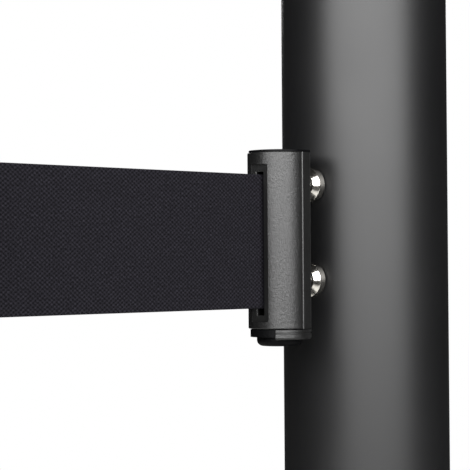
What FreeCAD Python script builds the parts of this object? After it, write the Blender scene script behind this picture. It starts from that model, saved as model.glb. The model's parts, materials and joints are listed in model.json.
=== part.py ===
"""Belt stanchion with a magnetic belt end, its belt and the belt's wall retractor.

Millimetres, +Z up. The origin is on the floor, under the middle of the post. The belt runs
from the post along -X, in the plane y = 0, to the retractor that winds it in.
"""

import FreeCAD
import Part

import math
import os

V = FreeCAD.Vector

# ---------------------------------------------------------------- driving dimensions
# Post and base
post_diameter = 63.0
post_wall = 1.5
post_top = 930.0           # upper end of the steel tube
base_diameter = 330.0
base_edge_height = 13.0    # straight rim of the base cover
base_crown = 20.0          # rise of the cover from its rim to the post
cover_wall = 1.2
cover_gap = 0.5            # rim above the underside of the weight
cover_corner = 5.0
cover_crown_rise = 3.0     # how far the cover bulges above a straight cone
pad_thickness = 4.0
pad_inset = 1.0            # pad's edge inside the cover's rim
pad_edge = 1.0             # rounding of the pad's lower edge
weight_inset = 17.0        # weight's edge inside the cover's outer edge
weight_thickness = 17.0
weight_edge = 3.0
foot_plate_thickness = 10.0
bolt_radius = 6.0
bolt_end_length = 6.0      # bolt beyond the foot plate
bolt_head_across = 19.0
bolt_head_height = 7.5
bolt_recess_radius = 26.0
bolt_recess_depth = 13.0
washer_thickness = 3.0
washer_inset = 3.0         # washer's edge inside the recess
lock_washer_thickness = 2.2
lock_washer_width = 5.5
collar_height = 9.0
collar_width = 6.0
collar_rim = 2.0           # straight rim at the collar's foot
collar_lip = 1.2           # flat lip at its top, round the post

# Receiver head on top of the post
head_height = 60.0
head_spigot_length = 24.0
head_spigot_wall = 4.0
cap_thickness = 5.0
cap_crown = 2.5
slot_floor = 6.0           # solid part of the head under its receiver slots
throat_width = 6.0
throat_depth = 4.5
cavity_width = 13.0
cavity_depth = 5.0
slot_count = 4
cap_screw_radius = 3.0
cap_screw_length = 18.0    # below the head's top
cap_screw_sink = 3.2       # depth of the countersink, and its spread
cap_screw_hex = 4.0        # across the flats of the socket
cap_screw_socket = 2.2
cap_screw_spare = 4.0      # hole beyond the screw's end

# Belt
belt_height = 830.0        # floor to the belt's middle
belt_width = 48.0
belt_thickness = 0.6
belt_stored_length = 2050.0   # what is left on the spool while the belt end is on the post
belt_pin_gap = 0.15        # sewn loop to the pin
roll_play = 0.02           # roll to the spool's core
run_in_end = 2.9           # straight run beyond the floor of the belt end's recess
run_past_roller = 1.0      # straight run from the guide rollers' front

# Belt end
end_radius = 11.3
end_back_depth = 5.4       # flat-sided half, behind the axis
end_wall = 2.0
end_margin_below = 7.4     # housing beyond the belt's lower edge
end_margin_above = 8.0
end_groove = 0.3           # depth of the vee groove along the seam of the two halves
end_edge = 0.35            # rounding of the housing's outer edges
end_corner = 1.6           # rounding of its two back corners
recess_width = 7.8
recess_depth = 0.9
recess_margin_below = 4.9  # recess beyond the belt's lower edge
recess_margin_above = 3.6
entry_width = 3.3          # slot that the belt goes through
entry_edge = 0.3           # rounding of the slot's mouth
entry_depth = 4.0          # from the slot's inner end to the axis
entry_margin_below = 2.4   # recess beyond the slot, at its lower end
entry_margin_above = 2.7
end_block_below = 4.4      # solid blocks that hold the belt pin and the screws
end_block_above = 6.2
pin_radius = 1.5
pin_hold_below = 2.6       # pin's length in each block
pin_hold_above = 3.2
top_cap_thickness = 0.85
top_cap_inset = 0.5
rail_thickness = 4.0
rail_length = 7.2
rail_margin = 8.0          # rail beyond the middle of each magnet
rail_end = 0.8             # rounding of the rail's two ends
boss_radius = 2.9
end_screw_radius = 1.25
end_screw_head_radius = 1.9
end_screw_inset = 5.1      # screw's axis inside the housing's side
end_screw_reach = 5.0      # screw beyond the seam, into the front half
end_screw_head_top = 0.4   # head's face below the back
end_screw_head_height = 1.3

# Magnets
magnet_radius = 6.5
magnet_wall_length = 3.0   # straight side of the cup
magnet_bevel = 1.9         # height of the cone between the side and the flat back
magnet_back_radius = 4.6   # flat back
magnet_rim = 0.3           # rounding of the cup's edges
magnet_upper_drop = 3.15   # below the belt's upper edge
magnet_lower_rise = 9.85   # above the belt's lower edge
magnet_reach = 15.5        # axis of the belt end to the rim of the magnets
magnet_gap = 0.2           # to the post's surface
magnet_washer = 0.6
magnet_washer_radius = 3.1
core_outer = 5.2
core_inner = 3.1
core_depth = 2.1
core_sink = 0.3            # core's face behind the cup's rim, with a third of it as play at the back
magnet_screw_radius = 1.4
magnet_screw_head = 2.8
magnet_screw_reach = 7.0   # screw beyond the washer, in the rail
magnet_screw_spare = 1.0   # hole beyond the screw's end

# Lock under the belt end
lock_gap = 0.3
lock_collar_inset = 0.7    # collar's edge inside the housing
lock_collar_height = 2.7
lock_knob_inset = 3.0
lock_knob_height = 3.3
lock_knob_edge = 2.2
lock_flute_radius = 2.2    # finger flutes in the knob
lock_flute_set = 0.9       # flute's axis outside the knob
lock_flute_angles = (-60, -20, 70, 110)
lock_tab_proud = 0.2       # tab's face outside the housing
lock_tab_thickness = 3.0
lock_tab_drop = 3.6        # height of the thumb tab
lock_tab_start = 33.5      # degrees from the belt side, towards -Y
lock_tab_end = 152.0
lock_tab_edge = 0.8        # rounding of the tab's lower edge
lock_tab_groove = 0.35     # radius of the groove round the tab
lock_tab_groove_drop = 1.3
lock_screw_radius = 1.25
lock_screw_head = 2.4
lock_screw_head_height = 1.1
lock_screw_sink = 1.6      # head's seat above the knob's face
lock_screw_reach = 1.4     # screw's length in the housing

# Retractor
spool_distance = 250.0     # post axis to spool axis
spool_core_radius = 9.0
spool_side_gap = 1.0       # belt's edge to the flange
spool_flange_radius = 30.0
spool_flange = 1.5
axle_radius = 4.0
bush_outer = 6.0
bush_length = 9.0
spring_height = 9.0
spring_strip = 0.4
spring_pitch = 2.0
spring_cup_wall = 2.0
spring_cover_thickness = 1.2
spring_play = 0.4          # above and below the spring
spring_side_play = 0.3     # between its outer turn and the cup
brake_drum_wall = 2.5
brake_height = 8.0
shoe_thickness = 4.6
shoe_width = 6.5
shoe_sweep = 105.0
shoe_gap = 1.5             # shoe to drum at rest
shoe_angles = {"brake_shoe_front": 20.0, "brake_shoe_rear": 200.0}   # of each pivot
shoe_lift = 0.6            # above the spool's flange
drum_lift = 0.5
drum_inset = 1.0           # drum inside the flange's edge
brake_pin_radius = 1.2
brake_pin_head = 1.9
brake_pin_head_height = 0.6
brake_pin_play = 0.2
case_room = 5.5            # spool flange to the case's wall
case_wall = 2.5
case_back_width = 52.0
case_back_reach = 6.0      # case's back behind the round part
case_corner = 4.0
case_floor_gap = 0.6       # under the spring cover
mouth_opening_depth = 1.0  # the case's opening goes this far behind the bezel
axle_boss_rise = 0.3       # boss above the case's floor
axle_hold_below = 1.4      # axle's length in the case and in the lid
axle_hold_above = 1.1
axle_boss = 3.0            # wall of the boss round the axle
lid_thickness = 3.0
lid_edge = 1.2
lid_screw_inset = 10.0     # screw to the back of the case
lid_screw_side = 7.0       # screw to the side of the case
bracket_thickness = 3.0
bracket_overhang = 6.0     # bracket beyond each side of the case
bracket_tab = 15.0         # bracket beyond the case, above and below
bracket_corner = 8.0
bracket_hole_radius = 2.75
bracket_hole_end = 7.0     # hole to the bracket's end
bracket_hole_side = 10.0
bracket_screw_up = 25.0
bracket_screw_reach = 7.0  # screw's length in the case
bracket_screw_head = 2.9
bracket_screw_head_height = 1.4
mouth_width = 3.6
mouth_wall = 5.5
mouth_margin = 1.6         # mouth beyond each edge of the belt
mouth_proud = 8.0          # bezel in front of the case
bezel_half_width = 9.0
bezel_margin = 6.0         # bezel beyond each edge of the belt
bezel_depth = 13.0
bezel_side = 1.8
bezel_corner = 3.0
roller_radius = 2.5
roller_pin_radius = 1.0
roller_set_back = 9.0      # roller's axis behind the face of the mouth
roller_margin = 3.0        # room for the rollers beyond each edge of the belt
roller_end_gap = 0.4
roller_pin_hold = 1.9      # pin's length in the bezel at each end
case_screw_radius = 1.5
case_screw_head = 2.7
case_screw_depth = 12.0
case_screw_sink = 1.6      # head's seat below the lid's face
case_screw_head_height = 1.4

# Clearances
cut = 1.0                  # a cutting tool's reach beyond the face that it opens
slide_fit = 0.3            # parts that pass each other
run_fit = 0.05             # shaft in a bush
screw_fit = 0.1

# ---------------------------------------------------------------- derived places
post_radius = post_diameter / 2
tube_inner = post_radius - post_wall
weight_bottom = pad_thickness
weight_top = weight_bottom + weight_thickness
head_bottom = post_top
head_top = head_bottom + head_height
magnet_face_x = -(post_radius + magnet_gap)
magnet_edge_x = magnet_face_x - magnet_wall_length
magnet_seat_x = magnet_edge_x - magnet_bevel
magnet_upper = belt_width / 2 - magnet_upper_drop    # from the belt's middle
magnet_lower = magnet_lower_rise - belt_width / 2
end_x = magnet_edge_x - magnet_reach
end_bottom = belt_height - belt_width / 2 - end_margin_below
end_top = belt_height + belt_width / 2 + end_margin_above
lock_collar_radius = end_radius - lock_collar_inset
lock_knob_radius = end_radius - lock_knob_inset
lock_tab_radius = end_radius + lock_tab_proud
spool_x = -spool_distance
case_radius = spool_flange_radius + case_room + case_wall
case_back_x = spool_x - case_radius - case_back_reach
mouth_face_x = spool_x + case_radius + mouth_proud
roller_x = mouth_face_x - roller_set_back
roller_y = belt_thickness / 2 + run_fit + roller_radius
entry_x = end_x - end_radius + recess_depth       # floor of the recess
belt_top = belt_height + belt_width / 2
belt_bottom = belt_height - belt_width / 2
roll_radius = math.sqrt(spool_core_radius ** 2 + belt_stored_length * belt_thickness / math.pi)
spool_half = belt_width / 2 + spool_side_gap
spool_low = belt_height - spool_half              # inner faces of the flanges
spool_high = belt_height + spool_half
run_start_x = entry_x + run_in_end                # inside the entry slot
run_end_x = roller_x + roller_radius + run_past_roller


# ---------------------------------------------------------------- helpers
def cyl(r, z0, z1, x=0.0, y=0.0):
    return Part.makeCylinder(r, z1 - z0, V(x, y, z0))


def ring(ro, ri, z0, z1, x=0.0, y=0.0):
    return cyl(ro, z0, z1, x, y).cut(cyl(ri, z0 - 1, z1 + 1, x, y))


def block(x0, x1, y0, y1, z0, z1):
    return Part.makeBox(x1 - x0, y1 - y0, z1 - z0, V(x0, y0, z0))


def rod_x(r, x0, x1, y, z):
    return Part.makeCylinder(r, x1 - x0, V(x0, y, z), V(1, 0, 0))


def polygon_prism(points, z0, z1):
    wire = Part.makePolygon([V(x, y, z0) for x, y in points] + [V(*points[0], z0)])
    return Part.Face(wire).extrude(V(0, 0, z1 - z0))


def revolve_profile(wire_edges, x=0.0, y=0.0):
    face = Part.Face(Part.Wire(wire_edges))
    return face.revolve(V(x, y, 0), V(0, 0, 1), 360)


def line(a, b):
    return Part.LineSegment(V(*a), V(*b)).toShape()


def arc(a, b, c):
    return Part.Arc(V(*a), V(*b), V(*c)).toShape()


def fuse(first, *rest):
    out = first
    for s in rest:
        out = out.fuse(s)
    return out.removeSplitter()


def compound(solids):
    return Part.makeCompound(solids)


def fillet(shape, radius, choose):
    """Rounds the edges for which choose(edge) is true."""
    edges = [e for e in shape.Edges if choose(e)]
    return shape.makeFillet(radius, edges) if edges else shape


def is_circle(edge, radius, z=None):
    if not isinstance(edge.Curve, Part.Circle):
        return False
    return abs(edge.Curve.Radius - radius) < 1e-4 and (z is None or abs(edge.Curve.Center.z - z) < 1e-4)


def is_upright(edge):
    if not isinstance(edge.Curve, (Part.Line, Part.LineSegment)):
        return False
    a, b = edge.Vertexes[0].Point, edge.Vertexes[-1].Point
    return abs(a.x - b.x) < 1e-6 and abs(a.y - b.y) < 1e-6


def hex_prism(across, z0, z1):
    r = across / math.sqrt(3)
    return polygon_prism([(r * math.cos(math.radians(60 * i)), r * math.sin(math.radians(60 * i)))
                          for i in range(6)], z0, z1)


def sector(ro, ri, a0, a1, z0, z1, x, y):
    """A curved wall from angle a0 to a1, in degrees from +X, anticlockwise."""
    def at(r, a):
        t = math.radians(a)
        return (x + r * math.cos(t), y + r * math.sin(t), z0)
    mid = (a0 + a1) / 2
    edges = [arc(at(ro, a0), at(ro, mid), at(ro, a1)), line(at(ro, a1), at(ri, a1)),
             arc(at(ri, a1), at(ri, mid), at(ri, a0)), line(at(ri, a0), at(ro, a0))]
    return Part.Face(Part.Wire(edges)).extrude(V(0, 0, z1 - z0))


parts = {}


# ---------------------------------------------------------------- base and post
def make_base():
    pad_radius = base_diameter / 2 - cover_wall - pad_inset
    pad = cyl(pad_radius, 0, pad_thickness)
    parts["floor_pad"] = fillet(pad, pad_edge, lambda e: is_circle(e, pad_radius, 0))

    r = base_diameter / 2 - weight_inset
    weight = cyl(r, weight_bottom, weight_top)
    weight = fillet(weight, weight_edge, lambda e: is_circle(e, r, weight_top))
    recess = cyl(bolt_recess_radius, weight_bottom - cut, weight_bottom + bolt_recess_depth)
    parts["base_weight"] = weight.cut([recess, cyl(bolt_radius + slide_fit, 0, weight_top + cut)])

    # The cover is a shallow crowned shell with a straight rim and an upturned neck at the post.
    ro = base_diameter / 2
    rn = post_radius + slide_fit
    z_rim = pad_thickness + cover_gap
    z_shoulder = z_rim + base_edge_height
    t = cover_wall
    corner = cover_corner
    z_neck = z_shoulder + corner + base_crown
    k = corner * (1 - math.sqrt(0.5))
    crown_mid = ((ro - corner + rn) / 2, 0, (z_shoulder + corner + z_neck) / 2 + cover_crown_rise)
    outer = [line((ro, 0, z_rim), (ro, 0, z_shoulder)),
             arc((ro, 0, z_shoulder), (ro - k, 0, z_shoulder + corner - k),
                 (ro - corner, 0, z_shoulder + corner)),
             arc((ro - corner, 0, z_shoulder + corner), crown_mid, (rn, 0, z_neck)),
             line((rn, 0, z_neck), (rn, 0, z_neck - t)),
             arc((rn, 0, z_neck - t), (crown_mid[0], 0, crown_mid[2] - t),
                 (ro - corner, 0, z_shoulder + corner - t)),
             arc((ro - corner, 0, z_shoulder + corner - t),
                 (ro - t - (corner - t) * (1 - math.sqrt(0.5)), 0,
                  z_shoulder + (corner - t) * math.sqrt(0.5)), (ro - t, 0, z_shoulder)),
             line((ro - t, 0, z_shoulder), (ro - t, 0, z_rim)),
             line((ro - t, 0, z_rim), (ro, 0, z_rim))]
    parts["base_cover"] = revolve_profile(outer)

    z0 = z_neck
    rc = rn + collar_width
    z1, z2 = z0 + collar_rim, z0 + collar_height
    # The curve from the rim to the lip passes this far along the straight line between them.
    belly = (rn + collar_width * 0.62, 0, z0 + collar_height * 0.72)
    collar = [line((rn, 0, z0), (rc, 0, z0)), line((rc, 0, z0), (rc, 0, z1)),
              arc((rc, 0, z1), belly, (rn + collar_lip, 0, z2)),
              line((rn + collar_lip, 0, z2), (rn, 0, z2)), line((rn, 0, z2), (rn, 0, z0))]
    parts["base_collar"] = revolve_profile(collar)


def make_post():
    parts["post_tube"] = ring(post_radius, tube_inner, weight_top, post_top)
    plate = cyl(tube_inner - run_fit, weight_top, weight_top + foot_plate_thickness)
    parts["foot_plate"] = plate.cut(cyl(bolt_radius + screw_fit, 0, weight_top + foot_plate_thickness + cut))

    recess_top = weight_bottom + bolt_recess_depth
    washer_z = recess_top - washer_thickness
    head_z = washer_z - lock_washer_thickness
    hole = bolt_radius + slide_fit
    parts["base_washer"] = ring(bolt_recess_radius - washer_inset, hole, washer_z, recess_top)
    parts["lock_washer"] = ring(bolt_radius + lock_washer_width, hole, head_z, washer_z)
    head = hex_prism(bolt_head_across, head_z - bolt_head_height, head_z)
    shank = cyl(bolt_radius, head_z - cut, weight_top + foot_plate_thickness + bolt_end_length)
    parts["base_bolt"] = fuse(head, shank)


def receiver_slots(z0, z1):
    """The T-shaped slots of the head, as one tool for cutting."""
    tools = []
    for i in range(slot_count):
        throat = block(post_radius - throat_depth - cut, post_radius + cut,
                       -throat_width / 2, throat_width / 2, z0, z1)
        inner = post_radius - throat_depth - cavity_depth
        cavity = block(inner, inner + cavity_depth, -cavity_width / 2, cavity_width / 2, z0, z1)
        tool = throat.fuse(cavity)
        tool.rotate(V(0, 0, 0), V(0, 0, 1), 360.0 / slot_count * i)
        tools.append(tool)
    return tools


def make_head():
    screw_hole = cap_screw_radius + screw_fit
    body = cyl(post_radius, head_bottom, head_top)
    body = body.cut(receiver_slots(head_bottom + slot_floor, head_top + cut))
    spigot_r = tube_inner - run_fit
    spigot = ring(spigot_r, spigot_r - head_spigot_wall, head_bottom - head_spigot_length, head_bottom)
    body = fuse(body, spigot)
    hole_z = head_top - cap_screw_length - cap_screw_spare
    parts["head_body"] = body.cut(cyl(screw_hole, hole_z, head_top + cut))

    crown_top = head_top + cap_thickness
    crown_radius = (post_radius ** 2 + cap_crown ** 2) / (2 * cap_crown)
    crown = Part.makeSphere(crown_radius, V(0, 0, crown_top - crown_radius))
    cap = cyl(post_radius, head_top, crown_top).common(crown)
    cap = cap.cut(receiver_slots(head_top - cut, crown_top + cut))
    sink_z = crown_top - cap_screw_sink
    sink = Part.makeCone(screw_hole, cap_screw_radius + cap_screw_sink, cap_screw_sink, V(0, 0, sink_z))
    parts["head_cap"] = cap.cut([cyl(screw_hole, head_top - cut, crown_top + cut), sink])
    head_rise = cap_screw_sink - 2 * screw_fit
    screw_head = Part.makeCone(cap_screw_radius, cap_screw_radius + head_rise, head_rise, V(0, 0, sink_z))
    shank = cyl(cap_screw_radius, head_top - cap_screw_length, sink_z)
    drive = hex_prism(cap_screw_hex, crown_top - cap_screw_socket, crown_top + cut)
    parts["head_cap_screw"] = fuse(screw_head, shank).cut(drive)


# ---------------------------------------------------------------- belt end
def seam_groove(z0, z1):
    """The vee grooves along both sides of the seam, as tools for cutting."""
    g = end_groove
    return [polygon_prism([(end_x - g, y), (end_x, y - g), (end_x + g, y), (end_x, y + g)], z0, z1)
            for y in (-end_radius, end_radius)]


def make_belt_end():
    z0, z1 = end_bottom, end_top
    hollow_z0, hollow_z1 = z0 + end_block_below, z1 - end_block_above
    r = end_radius

    # Front half: a half cylinder with the framed slot that the belt goes through.
    front_x = end_x - r - cut
    front = cyl(r, z0, z1, end_x).common(block(front_x, end_x, -r - cut, r + cut, z0, z1))
    front = fillet(front, end_edge, lambda e: isinstance(e.Curve, Part.Circle))
    front = front.cut(cyl(r - end_wall, hollow_z0, hollow_z1, end_x))
    rz0, rz1 = belt_bottom - recess_margin_below, belt_top + recess_margin_above
    front = front.cut(block(front_x, entry_x, -recess_width / 2, recess_width / 2, rz0, rz1))
    ez0, ez1 = rz0 + entry_margin_below, rz1 - entry_margin_above
    front = front.cut(block(front_x, end_x - entry_depth, -entry_width / 2, entry_width / 2, ez0, ez1))
    front = fillet(front, entry_edge, lambda e: is_slot_mouth(e, ez0, ez1))

    # Rear half: flat sides, a back wall and the rail that carries the magnets.
    back_x = end_x + end_back_depth
    rear = block(end_x, back_x, -r, r, z0, z1)
    rear = fillet(rear, end_corner, lambda e: is_upright(e) and e.Vertexes[0].Point.x > back_x - run_fit)
    rear = rear.cut(block(end_x - cut, back_x - end_wall, -r + end_wall, r - end_wall, hollow_z0, hollow_z1))
    rail_z0, rail_z1 = belt_height + magnet_lower - rail_margin, belt_height + magnet_upper + rail_margin
    rail_x = back_x + rail_length
    rail = block(back_x - run_fit, rail_x, -rail_thickness / 2, rail_thickness / 2, rail_z0, rail_z1)
    rail = fillet(rail, rail_end, lambda e: not is_upright(e) and e.Length < rail_thickness + run_fit
                  and e.Vertexes[0].Point.x > rail_x - run_fit)
    boss_x = magnet_seat_x - magnet_washer
    rear = fuse(rear, rail, *[rod_x(boss_radius, back_x - run_fit, boss_x, 0, belt_height + m)
                              for m in (magnet_upper, magnet_lower)])
    hole_x = boss_x - magnet_screw_reach - magnet_screw_spare
    for m in (magnet_upper, magnet_lower):
        rear = rear.cut(rod_x(magnet_screw_radius + screw_fit, hole_x, boss_x + cut, 0, belt_height + m))

    # The belt pin stands in the end blocks, and four screws hold the halves together.
    pin_z0, pin_z1 = hollow_z0 - pin_hold_below, hollow_z1 + pin_hold_above
    pin_hole = cyl(pin_radius + run_fit, pin_z0 - screw_fit, pin_z1 + screw_fit, end_x)
    screws = []
    spread = end_radius - end_screw_inset
    head_top_x = back_x - end_screw_head_top
    head_x = head_top_x - end_screw_head_height
    for y in (-spread, spread):
        for z in ((z0 + hollow_z0) / 2, (z1 + hollow_z1) / 2):
            hole = rod_x(end_screw_radius + screw_fit, end_x - end_screw_reach - slide_fit, back_x + cut,
                         y, z)
            sink = rod_x(end_screw_head_radius + screw_fit, head_x, back_x + cut, y, z)
            front, rear = front.cut(hole), rear.cut([hole, sink])
            screws.append(fuse(rod_x(end_screw_radius, end_x - end_screw_reach, head_x + screw_fit, y, z),
                               rod_x(end_screw_head_radius, head_x, head_top_x, y, z)))
    lock_hole = cyl(lock_screw_radius + screw_fit, z0 - cut, z0 + lock_screw_reach + screw_fit, end_x)
    opened = [pin_hole, lock_hole] + seam_groove(z0, z1)
    parts["end_front"] = front.cut(opened)
    parts["end_rear"] = rear.cut(opened)
    parts["end_screws"] = compound(screws)
    parts["belt_pin"] = cyl(pin_radius, pin_z0, pin_z1, end_x)

    cap_r = end_radius - top_cap_inset
    cap = cyl(cap_r, z1, z1 + top_cap_thickness, end_x).fuse(
        block(end_x, back_x - top_cap_inset, -cap_r, cap_r, z1, z1 + top_cap_thickness))
    parts["end_top_cap"] = cap.removeSplitter()


def is_slot_mouth(edge, z0, z1):
    """True for the four edges where the belt's slot opens in the floor of its recess."""
    box = edge.BoundBox
    on_floor = abs(box.XMin - entry_x) < 1e-4 and abs(box.XMax - entry_x) < 1e-4
    in_height = box.ZMin > z0 - 1e-4 and box.ZMax < z1 + 1e-4
    return on_floor and in_height and box.YMax - box.YMin < entry_width + 1e-4


def magnet_cup(z):
    """A plated steel cup, open towards the post, with a bevelled back."""
    face, edge = magnet_face_x, magnet_edge_x
    bevel = Part.makeCone(magnet_radius, magnet_back_radius, magnet_bevel, V(edge, 0, z), V(-1, 0, 0))
    body = rod_x(magnet_radius, edge, face, 0, z).fuse(bevel).removeSplitter()
    body = fillet(body, magnet_rim, lambda e: isinstance(e.Curve, Part.Circle))
    body = body.cut(rod_x(core_outer, face - core_depth, face + cut, 0, z))
    return body.cut(rod_x(magnet_screw_radius + screw_fit, magnet_seat_x - cut, face, 0, z))


def make_magnets():
    face, seat_x = magnet_face_x, magnet_seat_x
    core_play = core_sink / 3
    screws, washers = [], []
    for name, m in (("upper", magnet_upper), ("lower", magnet_lower)):
        z = belt_height + m
        parts[name + "_magnet_cup"] = magnet_cup(z)
        core = rod_x(core_outer - run_fit, face - core_depth + run_fit, face - core_play, 0, z)
        sink = Part.makeCone(magnet_screw_radius + core_sink, core_inner, core_depth + core_play,
                             V(face - core_depth, 0, z), V(1, 0, 0))
        parts[name + "_magnet_core"] = core.cut(sink)
        head = Part.makeCone(magnet_screw_radius, magnet_screw_head, core_depth - core_sink - core_play,
                             V(face - core_depth + core_play, 0, z), V(1, 0, 0))
        shank = rod_x(magnet_screw_radius, seat_x - magnet_washer - magnet_screw_reach,
                      face - core_depth + 2 * core_play, 0, z)
        screws.append(fuse(head, shank))
        washer = rod_x(magnet_washer_radius, seat_x - magnet_washer, seat_x, 0, z)
        washers.append(washer.cut(rod_x(magnet_screw_radius + screw_fit, seat_x - cut, seat_x + cut, 0, z)))
    parts["magnet_screws"] = compound(screws)
    parts["magnet_washers"] = compound(washers)


def make_lock():
    z_top = end_bottom - lock_gap
    z_collar = z_top - lock_collar_height
    z_knob = z_collar - lock_knob_height
    collar = cyl(lock_collar_radius, z_collar, z_top, end_x)
    knob = cyl(lock_knob_radius, z_knob, z_collar, end_x)
    knob = fillet(knob, lock_knob_edge, lambda e: is_circle(e, lock_knob_radius, z_knob))
    body = fuse(collar, knob)

    # Finger flutes in the knob, the tab's pocket and the screw's counterbore.
    flute_at = lock_knob_radius + lock_flute_set
    flutes = [cyl(lock_flute_radius, z_knob - cut, z_collar, end_x + flute_at * math.cos(math.radians(a)),
                  flute_at * math.sin(math.radians(a))) for a in lock_flute_angles]
    tab_a0, tab_a1 = 180 + lock_tab_start, 180 + lock_tab_end
    tab_inner = lock_tab_radius - lock_tab_thickness
    pocket = sector(lock_tab_radius + cut, tab_inner - screw_fit, tab_a0 - 1, tab_a1 + 1,
                    z_collar - screw_fit, z_top + screw_fit, end_x, 0)
    head_z = z_knob + lock_screw_sink
    parts["lock_body"] = body.cut(flutes + [
        pocket, cyl(lock_screw_radius + screw_fit, z_knob - cut, z_top + cut, end_x),
        cyl(lock_screw_head + 2 * screw_fit, z_knob - cut, head_z, end_x)])

    # The thumb tab, with a groove round it.
    z_low = z_top - lock_tab_drop
    tab = sector(lock_tab_radius, tab_inner, tab_a0, tab_a1, z_low, z_top, end_x, 0)
    undercut = sector(lock_knob_radius + slide_fit, cut, tab_a0 - 2, tab_a1 + 2,
                      z_low - cut, z_collar - screw_fit, end_x, 0)
    tab = tab.cut(undercut)
    tab = fillet(tab, lock_tab_edge, lambda e: is_circle(e, lock_tab_radius, z_low))
    groove = Part.makeTorus(lock_tab_radius, lock_tab_groove, V(end_x, 0, z_top - lock_tab_groove_drop))
    parts["lock_tab"] = tab.cut(groove)
    shank = cyl(lock_screw_radius, head_z - screw_fit, z_top + lock_gap + lock_screw_reach, end_x)
    parts["lock_screw"] = shank.fuse(cyl(lock_screw_head, head_z - lock_screw_head_height, head_z, end_x))


# ---------------------------------------------------------------- belt
def make_belt():
    t = belt_thickness
    # Loop round the pin: the doubled end of the belt, sewn to itself outside the pin.
    inner = pin_radius + belt_pin_gap
    tail = block(run_start_x, end_x - pin_radius / 3, -t, t, belt_bottom, belt_top)
    loop = fuse(tail, cyl(inner + t, belt_bottom, belt_top, end_x))
    parts["belt_loop"] = loop.cut(cyl(inner, belt_bottom - cut, belt_top + cut, end_x))
    parts["belt_run"] = block(run_end_x, run_start_x, -t / 2, t / 2, belt_bottom, belt_top)

    # Inside the retractor the belt bends round one roller and goes straight to the roll.
    ra, rb = roller_y, roll_radius + t / 2 + slide_fit
    ax, ay = roller_x, roller_y
    dx, dy = spool_x - ax, -ay
    centres = math.hypot(dx, dy)
    direction = math.atan2(dy, dx) % (2 * math.pi) - math.asin((ra + rb) / centres)
    turn = math.pi - direction
    lead = block(roller_x, run_end_x, -t / 2, t / 2, belt_bottom, belt_top)
    bend = sector(ra + t / 2, ra - t / 2, -90 - math.degrees(turn), -90, belt_bottom, belt_top, ax, ay)
    start = V(ax + ra * math.cos(-math.pi / 2 - turn), ay + ra * math.sin(-math.pi / 2 - turn), belt_bottom)
    length = math.sqrt(centres ** 2 - (ra + rb) ** 2)
    straight = Part.makeBox(length, t, belt_width, V(0, -t / 2, 0))
    straight.rotate(V(0, 0, 0), V(0, 0, 1), math.degrees(direction))
    straight.translate(start)
    parts["belt_lead"] = fuse(lead, bend, straight)
    parts["belt_roll"] = ring(roll_radius, spool_core_radius + roll_play, belt_bottom, belt_top, spool_x)


# ---------------------------------------------------------------- retractor
def spring_levels():
    top = spool_low - spool_flange - 0.4
    return top - spring_height, top


def make_spool():
    zl, zh = spool_low, spool_high
    core = cyl(spool_core_radius, zl, zh, spool_x)
    flanges = [cyl(spool_flange_radius, zl - spool_flange, zl, spool_x),
               cyl(spool_flange_radius, zh, zh + spool_flange, spool_x)]
    cup_z0 = spring_levels()[0] - spring_play
    cup_inner = spool_flange_radius - spring_cup_wall
    cup = ring(spool_flange_radius, cup_inner, cup_z0, zl - spool_flange, spool_x)
    bore = cyl(bush_outer + run_fit, zl - spool_flange - cut, zh + spool_flange + cut, spool_x)
    parts["spool"] = fuse(core, *flanges, cup).cut(bore)
    parts["spring_cover"] = ring(spool_flange_radius, axle_radius + 2.0,
                                 cup_z0 - spring_cover_thickness, cup_z0, spool_x)
    lo, hi = zl - spool_flange, zh + spool_flange
    parts["spool_bushes"] = compound([
        ring(bush_outer, axle_radius + run_fit, lo, lo + bush_length, spool_x),
        ring(bush_outer, axle_radius + run_fit, hi - bush_length, hi, spool_x)])


def make_power_spring():
    """A flat spiral of half turns about two centres, from the axle to the cup."""
    z0, z1 = spring_levels()
    outer_limit = spool_flange_radius - spring_cup_wall - spring_side_play
    half, r = [], axle_radius + spring_strip / 2
    side = 0
    while r + spring_strip / 2 + spring_pitch / 2 < outer_limit:
        centre = spool_x + (0.0 if side % 2 == 0 else spring_pitch / 2)
        a0 = 0 if side % 2 == 0 else 180
        half.append(sector(r + spring_strip / 2, r - spring_strip / 2, a0, a0 + 180, z0, z1, centre, 0))
        r += spring_pitch / 2
        side += 1
    parts["power_spring"] = fuse(*half)


def make_brake():
    zb = spool_high + spool_flange
    drum_inner = spool_flange_radius - brake_drum_wall - drum_inset
    lid_z = case_levels()[1]
    parts["brake_drum"] = ring(drum_inner + brake_drum_wall, drum_inner, zb + drum_lift, lid_z, spool_x)
    shoe_outer = drum_inner - shoe_gap
    pivot_r = shoe_outer - shoe_width / 2
    z0 = zb + shoe_lift
    z1 = z0 + shoe_thickness
    head_z0 = z1 + brake_pin_play
    head_z1 = head_z0 + brake_pin_head_height
    pins = []
    for name, a in shoe_angles.items():
        t = math.radians(a)
        px, py = spool_x + pivot_r * math.cos(t), pivot_r * math.sin(t)
        shoe = sector(shoe_outer, shoe_outer - shoe_width, a, a + shoe_sweep, z0, z1, spool_x, 0)
        shoe = fuse(shoe, cyl(shoe_width / 2, z0, z1, px, py))
        parts[name] = shoe.cut(cyl(brake_pin_radius + run_fit, z0 - cut, z1 + cut, px, py))
        pins.append(fuse(cyl(brake_pin_radius, zb, head_z1, px, py),
                         cyl(brake_pin_head, head_z0, head_z1, px, py)))
    parts["brake_pins"] = compound(pins)


def case_levels():
    z0 = spring_levels()[0] - spring_play - spring_cover_thickness - case_floor_gap
    z1 = spool_high + spool_flange + brake_height
    return z0, z1


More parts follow.
